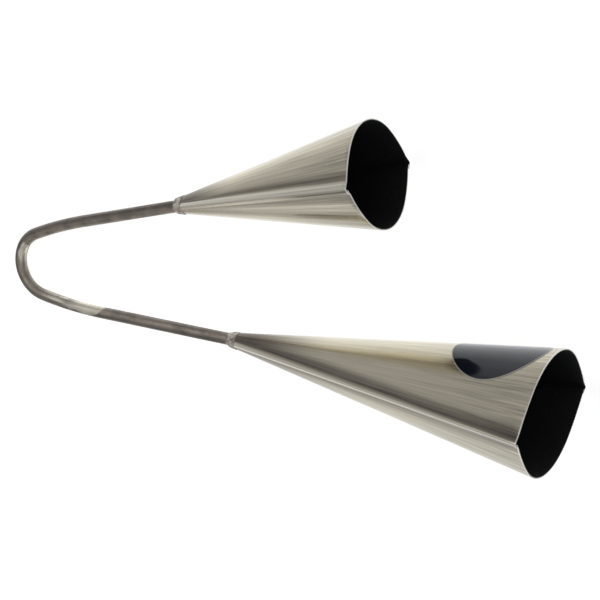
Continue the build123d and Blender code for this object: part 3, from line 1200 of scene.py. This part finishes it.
def wire(tree, shader, base_color, texture, rough_mask, bump_mask):
    """Feed a shader's colour, roughness and bumps."""
    tree.links.new(base_color, shader.inputs["Base Color"])
    tree.links.new(between(tree, rough_mask, *texture.roughness), shader.inputs["Roughness"])
    inputs = {"Height": bump_mask, "Distance": texture.relief, "Strength": 1.0}
    bump = put(tree, "ShaderNodeBump", inputs).outputs[0]
    tree.links.new(bump, shader.inputs["Normal"])


def object_place(tree):
    return put(tree, "ShaderNodeTexCoord").outputs["Object"]


def attribute(tree, name):
    return put(tree, "ShaderNodeAttribute", attribute_type="GEOMETRY", attribute_name=name).outputs


def darker(rgb, factor):
    return opaque(tuple(factor * part for part in rgb))


def darkened(tree, amount, base):
    return mixed_colour(tree, amount, base, BLACK)


def brushed_steel_material(finishes):
    """Warm grey steel, brushed along the bell, darker beside the seams with patina and painted shade, with
    painted highlights on the folds and at the mouth.
    """
    material, tree, shader = new_material("brushed_steel", Metallic=1.0)
    place = put(tree, "ShaderNodeUVMap", uv_map="UVMap").outputs[0]
    marks = brush_marks_on(tree, place, *STEEL_LINES)
    clouds = clouds_on(tree, object_place(tree), STEEL_TEXTURE)
    to_mouth = attribute(tree, "to_mouth")["Fac"]
    # Patina beside the seams, with painted shade in the flare's valley and on the lap; on the plain shells,
    # painted shade and dirt beside the lap; below zero, painted highlights on the folds
    tone = attribute(tree, "patina")["Fac"]
    dark = product(
        tree,
        maths(tree, "MAXIMUM", tone, attribute(tree, "burnt")["Fac"]),
        between(tree, clouds["Blotches"], *DARKENING_BY_BLOTCHES),
        between(tree, marks["Streaks"], *DARKENING_BY_STREAKS),
    )
    base = mixed_colour(tree, dark, opaque(finishes.steel), opaque(finishes.patina))
    near_mouth = mapped(tree, to_mouth, *BRUSH_FADE, 1.0, BRUSH_FAR_FROM_MOUTH)
    streaks = product(tree, near_mouth, between(tree, marks["Streaks"], STREAK_DARKENING, 0.0))
    scratches = product(tree, near_mouth, between(tree, marks["Scratches"], SCRATCH_DARKENING, 0.0))
    brushed = darkened(tree, scratches, darkened(tree, streaks, base))
    # Painted highlights on the folds, where the tone is below zero, and on the strip at the mouth's rim
    at_mouth = mapped(tree, to_mouth, *MOUTH_HIGHLIGHT, 1.0, 0.0)
    rubbed_and_highlight = maths(tree, "MAXIMUM", product(tree, tone, -1.0), at_mouth)
    folds = mixed_colour(tree, rubbed_and_highlight, brushed, opaque(finishes.rubbed_and_highlight))
    wire(tree, shader, folds, STEEL_TEXTURE, marks["Streaks"], marks["Scratches"])
    return material


def black_inside_material(finishes):
    """Blackened inside with faint specks."""
    material, tree, shader = new_material("black_inside", Metallic=0.0, Specular_IOR_Level=0.12)
    place = object_place(tree)
    clouds = clouds_on(tree, place, INSIDE_TEXTURE)
    inputs = {"Vector": place, "Scale": SPECK_SCALE, "Randomness": 1.0}
    dots = put(tree, "ShaderNodeTexVoronoi", inputs).outputs["Distance"]
    specks = mapped(tree, dots, *SPECK_EDGE, SPECK_STRENGTH, 0.0)
    rare = mapped(tree, clouds["Grain"], *SPECK_RARITY)
    lit = product(tree, specks, rare)
    base = mixed_colour(tree, lit, opaque(finishes.inside), opaque(finishes.inside_specks))
    wire(tree, shader, base, INSIDE_TEXTURE, clouds["Blotches"], clouds["Grain"])
    return material


def mouth_edge_material(finishes):
    """Filed edge of the sheet at the mouth, bright outside, blackened towards the inside."""
    material, tree, shader = new_material("mouth_edge")
    clouds = clouds_on(tree, object_place(tree), MOUTH_EDGE_TEXTURE)
    dull = darker(finishes.cut_edge, 0.6)
    bright = mixed_colour(tree, clouds["Blotches"], opaque(finishes.cut_edge), dull)
    wander = between(tree, clouds["Grain"], -PAINT_WANDER, PAINT_WANDER)
    ragged = maths(tree, "ADD", attribute(tree, "depth")["Fac"], wander)
    painted = mapped(tree, ragged, *PAINT_EDGE, smooth=True)
    base = mixed_colour(tree, painted, bright, opaque(finishes.inside))
    tree.links.new(maths(tree, "SUBTRACT", 1.0, painted), shader.inputs["Metallic"])
    wire(tree, shader, base, MOUTH_EDGE_TEXTURE, clouds["Grain"], clouds["Grain"])
    return material


def seam_edge_material(finishes):
    """Sheared edge of the lap, painted dark as the shadow under the lap's edge."""
    material, tree, shader = new_material("seam_edge", Metallic=1.0)
    clouds = clouds_on(tree, object_place(tree), SEAM_EDGE_TEXTURE)
    base = mixed_colour(tree, clouds["Blotches"], darker(finishes.patina, 0.5), opaque(finishes.patina))
    wire(tree, shader, base, SEAM_EDGE_TEXTURE, clouds["Grain"], clouds["Grain"])
    return material


def round_the_rod(tree, side, span, radius, *to_range, smooth=False):
    """Mask across the rod, over a span given in radii from its middle line."""
    start, end = span
    return mapped(tree, side, start * radius, end * radius, *to_range, smooth=smooth)


def bend_wear(tree, along, side, radius):
    """Rubbed steel on the inner side of the bend and of the large bell's arm."""
    first = BEND_WEAR[0][0]
    last = BEND_WEAR[-1][0]
    ramp = put(tree, "ShaderNodeValToRGB", {0: mapped(tree, along, first, last)})
    elements = ramp.color_ramp.elements
    while len(elements) < len(BEND_WEAR):
        elements.new(0.5)
    for element, (where, much) in zip(elements, BEND_WEAR):
        element.position = (where - first) / (last - first)
        element.color = (much, much, much, 1.0)
    inner = round_the_rod(tree, side, WORN_SIDE, radius, smooth=True)
    short_of_edge = round_the_rod(tree, side, WORN_EDGE, radius, 0.35, 1.0)
    return product(tree, ramp.outputs[0], product(tree, inner, short_of_edge))


def bare_patch(tree, along, side, radius):
    """One scraped place on the large bell's arm, which fades in and ends in a slanted cut."""
    start, end = BARE_PATCH
    slanted = maths(tree, "ADD", along, product(tree, side, BARE_PATCH_SLANT))
    fading_in = mapped(tree, slanted, start, (start + end) / 2, smooth=True)
    cut_off = mapped(tree, slanted, end - BARE_PATCH_BLUR, end + BARE_PATCH_BLUR, 1.0, 0.0)
    inner = round_the_rod(tree, side, SCRAPED_SIDE, radius)
    return product(tree, fading_in, cut_off, inner)


def rod_material(finishes, bend_start, radius):
    """Dark oxidised rod, paler inside the handle as a painted reflection of the floor, rubbed round the
    bend and scraped on one arm.
    """
    material, tree, shader = new_material("worn_rod", Metallic=1.0)
    place = attribute(tree, "rod_place")["Vector"]
    marks = brush_marks_on(tree, place, *ROD_LINES)
    clouds = clouds_on(tree, place, ROD_TEXTURE)
    blotches = clouds["Blotches"]
    from_end, side = put(tree, "ShaderNodeSeparateXYZ", {0: place}).outputs[:2]
    along = maths(tree, "SUBTRACT", from_end, bend_start)
    ragged_along = maths(tree, "ADD", along, between(tree, blotches, -WEAR_WANDER[0], WEAR_WANDER[0]))
    ragged_side = maths(tree, "ADD", side, between(tree, blotches, -WEAR_WANDER[1], WEAR_WANDER[1]))
    rubbed_and_highlight = bend_wear(tree, ragged_along, ragged_side, radius)
    rubbed_and_highlight = product(tree, rubbed_and_highlight, mapped(tree, marks["Streaks"], *WEAR_STREAKS))
    wear = maths(tree, "MAXIMUM", rubbed_and_highlight, bare_patch(tree, along, ragged_side, radius))
    # Painted reflection of the floor: the rod is paler towards the inside of the handle
    inner = round_the_rod(tree, side, FLOOR_REFLECTION_SIDE, radius, smooth=True)
    oxide_and_reflection = mixed_colour(tree, inner, opaque(finishes.rod_dark), opaque(finishes.rod_floor_reflection))
    innermost = round_the_rod(tree, side, INNERMOST_SIDE, radius, 0.0, 0.6)
    oxide_and_reflection = mixed_colour(tree, innermost, oxide_and_reflection, darker(finishes.rod_dark, 0.6))
    stains = mapped(tree, blotches, *STAIN_EDGE, 0.0, STAIN_STRENGTH)
    oxide_and_reflection = mixed_colour(tree, stains, oxide_and_reflection, darker(finishes.rod_dark, 0.5))
    base = mixed_colour(tree, wear, oxide_and_reflection, opaque(finishes.rod_worn))
    scratches = between(tree, marks["Scratches"], ROD_SCRATCH_DARKENING, 0.0)
    grained = darkened(tree, scratches, base)
    wire(tree, shader, grained, ROD_TEXTURE, marks["Streaks"], marks["Scratches"])
    return material


def weld_material(finishes):
    """Weld metal, brushed over, rough and a little burnt, and darker along its edges."""
    material, tree, shader = new_material("weld_metal", Metallic=1.0)
    clouds = clouds_on(tree, object_place(tree), WELD_TEXTURE)
    burnt = mapped(tree, clouds["Blotches"], *WELD_BURNS)
    base = mixed_colour(tree, burnt, opaque(finishes.weld), darker(finishes.weld, 0.35))
    from_middle = maths(tree, "ABSOLUTE", maths(tree, "SUBTRACT", attribute(tree, "bead")["Fac"], 0.5))
    edge_darkening = mapped(tree, from_middle, *WELD_EDGE_DARKENING, 0.0, 0.7, smooth=True)
    base = mixed_colour(tree, edge_darkening, base, darker(finishes.weld, 0.2))
    wire(tree, shader, base, WELD_TEXTURE, clouds["Blotches"], clouds["Blotches"])
    return material


def label_material(finishes):
    """Glossy dark film with a thin pale edge."""
    material, tree, shader = new_material("label_film", Metallic=0.0, Coat_Weight=0.3, Coat_Roughness=0.03)
    clouds = clouds_on(tree, object_place(tree), LABEL_TEXTURE)
    edge = mapped(tree, attribute(tree, "reach")["Fac"], *LABEL_EDGE)
    ink = mixed_colour(tree, clouds["Blotches"], opaque(finishes.label), darker(finishes.label, 1.6))
    base = mixed_colour(tree, edge, ink, opaque(finishes.label_edge))
    wire(tree, shader, base, LABEL_TEXTURE, clouds["Blotches"], clouds["Grain"])
    return material


def floor_material(stage):
    """Pale floor of a light table. Seen in the steel, its glow thins out along the ray."""
    material, tree, shader = new_material("pale_floor", Metallic=0.0)
    place = object_place(tree)
    clouds = clouds_on(tree, place, FLOOR_TEXTURE)
    base = mixed_colour(tree, clouds["Blotches"], opaque(stage.floor), darker(stage.floor, 0.985))
    path = put(tree, "ShaderNodeLightPath").outputs
    seen = path["Is Camera Ray"]
    fall = maths(tree, "EXPONENT", maths(tree, "DIVIDE", path["Ray Length"], -stage.glow_reach))
    mirrored = between(tree, fall, stage.far_glow, stage.near_glow)
    forward = put(tree, "ShaderNodeSeparateXYZ", {0: place}).outputs[1]
    front = mapped(tree, forward, *FRONT_GLOW_SPAN, 0.0, stage.front_glow, smooth=True)
    mirrored = maths(tree, "ADD", mirrored, front)
    glow = between(tree, seen, mirrored, stage.floor_glow)
    tree.links.new(glow, shader.inputs["Emission Strength"])
    tint = mixed_colour(tree, seen, opaque(stage.mirrored_floor), base)
    tree.links.new(tint, shader.inputs["Emission Color"])
    wire(tree, shader, base, FLOOR_TEXTURE, clouds["Blotches"], clouds["Blotches"])
    return material


def studio_world(stage):
    """Even grey room with a paler ceiling."""
    world = bpy.data.worlds.new("studio")
    world.use_nodes = True
    tree = world.node_tree
    direction = put(tree, "ShaderNodeTexCoord").outputs["Generated"]
    height = put(tree, "ShaderNodeSeparateXYZ", {0: direction}).outputs[2]
    overhead = mapped(tree, height, *CEILING_EDGE, smooth=True)
    tone = mixed_colour(tree, overhead, opaque(stage.room), opaque(stage.ceiling))
    tree.links.new(tone, tree.nodes["Background"].inputs["Color"])
    return world


# Operators


class AGOGO_OT_bell_shells(bpy.types.Operator):
    """Make the four pressed half shells of the two bells"""

    bl_idname = "agogo.bell_shells"
    bl_label = "Bell Shells"

    def execute(self, context):
        settings = context.scene.agogo
        finishes = settings.finishes
        values = {
            "Rows": SHELL_ROWS,
            "Waves": SHELL_WAVES,
            "Outside": brushed_steel_material(finishes),
            "Inside": black_inside_material(finishes),
            "Mouth Edge": mouth_edge_material(finishes),
            "Seam Edge": seam_edge_material(finishes),
        }
        for name, bell, arm in bells(settings):
            for kind in ("lipped", "plain"):
                tones = SEAM_PATINA_SHADE_AND_HIGHLIGHTS[name] if kind == "lipped" else LAP_SHADE_AND_DIRT[name]
                tree = ruled_shell_tree(f"{name}_{kind}_sheet", tones, LAP_LINE_FADE.get(name))
                outline = shell_outline(name, bell, settings, kind)
                values["Length"] = bell.bell_length
                values["Burnt End"] = BURNT_END[kind]
                values["Band Neck Share"] = BAND_NECK_SHARE[name]
                shell = grown(f"{name}_{kind}_half", tree, outline, values, RIM_BEVEL)
                shell.data.transform(arm.bell_matrix())
                dress(shell, "bell_steel", f"{name}_bell_{kind}_shell")
        return {"FINISHED"}


class AGOGO_OT_handle_rod(bpy.types.Operator):
    """Make the bent rod that carries the bells"""

    bl_idname = "agogo.handle_rod"
    bl_label = "Handle Rod"

    def execute(self, context):
        settings = context.scene.agogo
        handle = settings.handle
        small, large = [arm for name, bell, arm in bells(settings)]
        bend_start = math.pi / 2 + small.start_angle
        bend_turn = math.pi - small.start_angle - large.start_angle
        steps = math.ceil(bend_turn / ARC_STEP)
        angles = [bend_start + bend_turn * i / steps for i in range(1, steps)]
        bend = [handle.bend_radius * Vector((math.cos(a), math.sin(a), 0.0)) for a in angles]
        small_half = [small.end, small.straight_start, *small.sweep_points()]
        large_half = [large.end, large.straight_start, *large.sweep_points()]
        path = small_half + bend + large_half[::-1]
        radius = handle.rod_diameter / 2
        to_bend = handle.insertion + handle.small_arm + handle.sweep_radius * handle.small_sweep
        values = {
            "Radius": radius,
            "Sides": ROD_SIDES,
            "Dents": ROD_DENTS,
            "Surface": rod_material(settings.finishes, to_bend, radius),
        }
        rod = grown("bent_handle", bent_rod_tree(), line_mesh("rod_path", path, {}), values)
        rod.data.transform(handle_matrix())
        dress(rod, "rod_steel", "handle_rod")
        return {"FINISHED"}


class AGOGO_OT_weld_beads(bpy.types.Operator):
    """Make the weld bead round each bell's neck"""

    bl_idname = "agogo.weld_beads"
    bl_label = "Weld Beads"

    def execute(self, context):
        settings = context.scene.agogo
        values = {
            "Steps": WELD_STEPS,
            "Rod Radius": settings.handle.rod_diameter / 2,
            "Height": WELD_HEIGHT,
            "Lumps": WELD_LUMPS,
            "Wander": WELD_WANDER,
            "Bury": WELD_BURY,
            "Surface": weld_material(settings.finishes),
        }
        tree = weld_bead_tree()
        for number, (name, bell, arm) in enumerate(bells(settings)):
            values["Bell Length"] = bell.bell_length
            values["Toe"] = bell.neck_in_weld - WELD_LENGTH
            values["Front"] = bell.neck_in_weld
            values["Seed"] = WELD_SEEDS[number]
            outline = neck_outline(f"{name}_neck_line", bell, settings)
            bead = grown(f"{name}_neck_bead", tree, outline, values)
            bead.data.transform(arm.bell_matrix())
            dress(bead, "weld_metal", f"{name}_neck_weld")
        return {"FINISHED"}


class AGOGO_OT_oval_label(bpy.types.Operator):
    """Lay the plain oval label on the large bell's crown"""

    bl_idname = "agogo.oval_label"
    bl_label = "Oval Label"

    def execute(self, context):
        settings = context.scene.agogo
        label = settings.label
        name, bell, arm = bells(settings)[1]
        seam, crown, mouth, neck = [column.to_3d() for column in arm.bell_matrix().col]
        face = [(i / LABEL_STEPS, label.height) for i in range(LABEL_STEPS + 1)]
        profile = face + [(1.0, 0.0), (0.0, 0.0)]
        line = line_mesh(
            "label_profile",
            [(reach, 0.0, height) for reach, height in profile],
            {
                "reach": ("FLOAT", [reach for reach, height in profile]),
                "height": ("FLOAT", [height for reach, height in profile]),
            },
        )
        rise = bell.mouth_height / 2 - settings.handle.rod_diameter / 2 - FIT_CLEARANCE
        crown_line = (mouth * bell.bell_length + crown * rise).normalized()
        outward = crown_line.cross(seam)
        crown_height = bell.mouth_height / 2 + settings.sheet.thickness
        mouth_crown = neck + mouth * bell.bell_length + crown * crown_height
        values = {
            "Shell": bpy.data.objects["large_lipped_half"],
            "Sides": LABEL_SIDES,
            "Middle": mouth_crown - crown_line * label.from_mouth + outward * LABEL_DROP,
            "Along": crown_line * (label.length / 2),
            "Across": seam * (label.width / 2),
            "Down": -outward,
            "Film": label_material(settings.finishes),
        }
        film = grown("plain_oval", laid_label_tree(), line, values)
        dress(film, "label_film", "oval_label")
        return {"FINISHED"}


class AGOGO_OT_stage(bpy.types.Operator):
    """Make the pale floor, the soft light and the camera"""

    bl_idname = "agogo.stage"
    bl_label = "Stage"

    def execute(self, context):
        stage = context.scene.agogo.stage
        scene = context.scene
        floor_mesh = bpy.data.meshes.new("floor")
        corners = [(x * FLOOR_REACH, y * FLOOR_REACH, 0.0) for x, y in ((-1, -1), (1, -1), (1, 1), (-1, 1))]
        floor_mesh.from_pydata(corners, [], [(0, 1, 2, 3)])
        floor_mesh.materials.append(floor_material(stage))
        floor = bpy.data.objects.new("floor", floor_mesh)
        scene.collection.objects.link(floor)

        scene.world = studio_world(stage)

        lamp = bpy.data.lights.new("soft_key", "AREA")
        lamp.shape = "RECTANGLE"
        lamp.size, lamp.size_y = KEY_SIZE
        lamp.energy = stage.key_power
        key = bpy.data.objects.new("soft_key", lamp)
        key.location = KEY_PLACE
        key.rotation_euler = (KEY_AIM - KEY_PLACE).to_track_quat("-Z", "Y").to_euler()
        scene.collection.objects.link(key)

        camera_data = bpy.data.cameras.new("camera")
        camera_data.lens = stage.lens
        camera_data.sensor_width = FILM_WIDTH_MM
        camera = bpy.data.objects.new("camera", camera_data)
        camera.location = stage.camera_place
        camera.rotation_euler = stage.camera_turn
        scene.collection.objects.link(camera)
        scene.camera = camera
        scene.view_settings.view_transform = "Standard"
        return {"FINISHED"}


class AGOGO_PT_tools(bpy.types.Panel):
    """Sidebar list of the instrument's parts"""

    bl_label = "Agogo"
    bl_idname = "AGOGO_PT_tools"
    bl_space_type = "VIEW_3D"
    bl_region_type = "UI"
    bl_category = "Agogo"

    def draw(self, context):
        settings = context.scene.agogo
        for operator in OPERATORS:
            self.layout.operator(operator.bl_idname)
        for group in ("handle", "small_bell", "large_bell", "sheet", "label", "finishes", "stage"):
            box = self.layout.box()
            values = getattr(settings, group)
            for name in values.__annotations__:
                box.prop(values, name)


OPERATORS = (
    AGOGO_OT_bell_shells,
    AGOGO_OT_handle_rod,
    AGOGO_OT_weld_beads,
    AGOGO_OT_oval_label,
    AGOGO_OT_stage,
)
CLASSES = (
    HandleSizes,
    SmallBellSizes,
    LargeBellSizes,
    SheetSizes,
    LabelSizes,
    Finishes,
    StageLook,
    AgogoSettings,
    *OPERATORS,
    AGOGO_PT_tools,
)


def register():
    for item in CLASSES:
        bpy.utils.register_class(item)
    bpy.types.Scene.agogo = PointerProperty(type=AgogoSettings)


def unregister():
    del bpy.types.Scene.agogo
    for item in reversed(CLASSES):
        bpy.utils.unregister_class(item)


def main():
    register()
    bpy.ops.agogo.bell_shells()
    bpy.ops.agogo.handle_rod()
    bpy.ops.agogo.weld_beads()
    bpy.ops.agogo.oval_label()
    bpy.ops.agogo.stage()


if __name__ == "__main__":
    main()
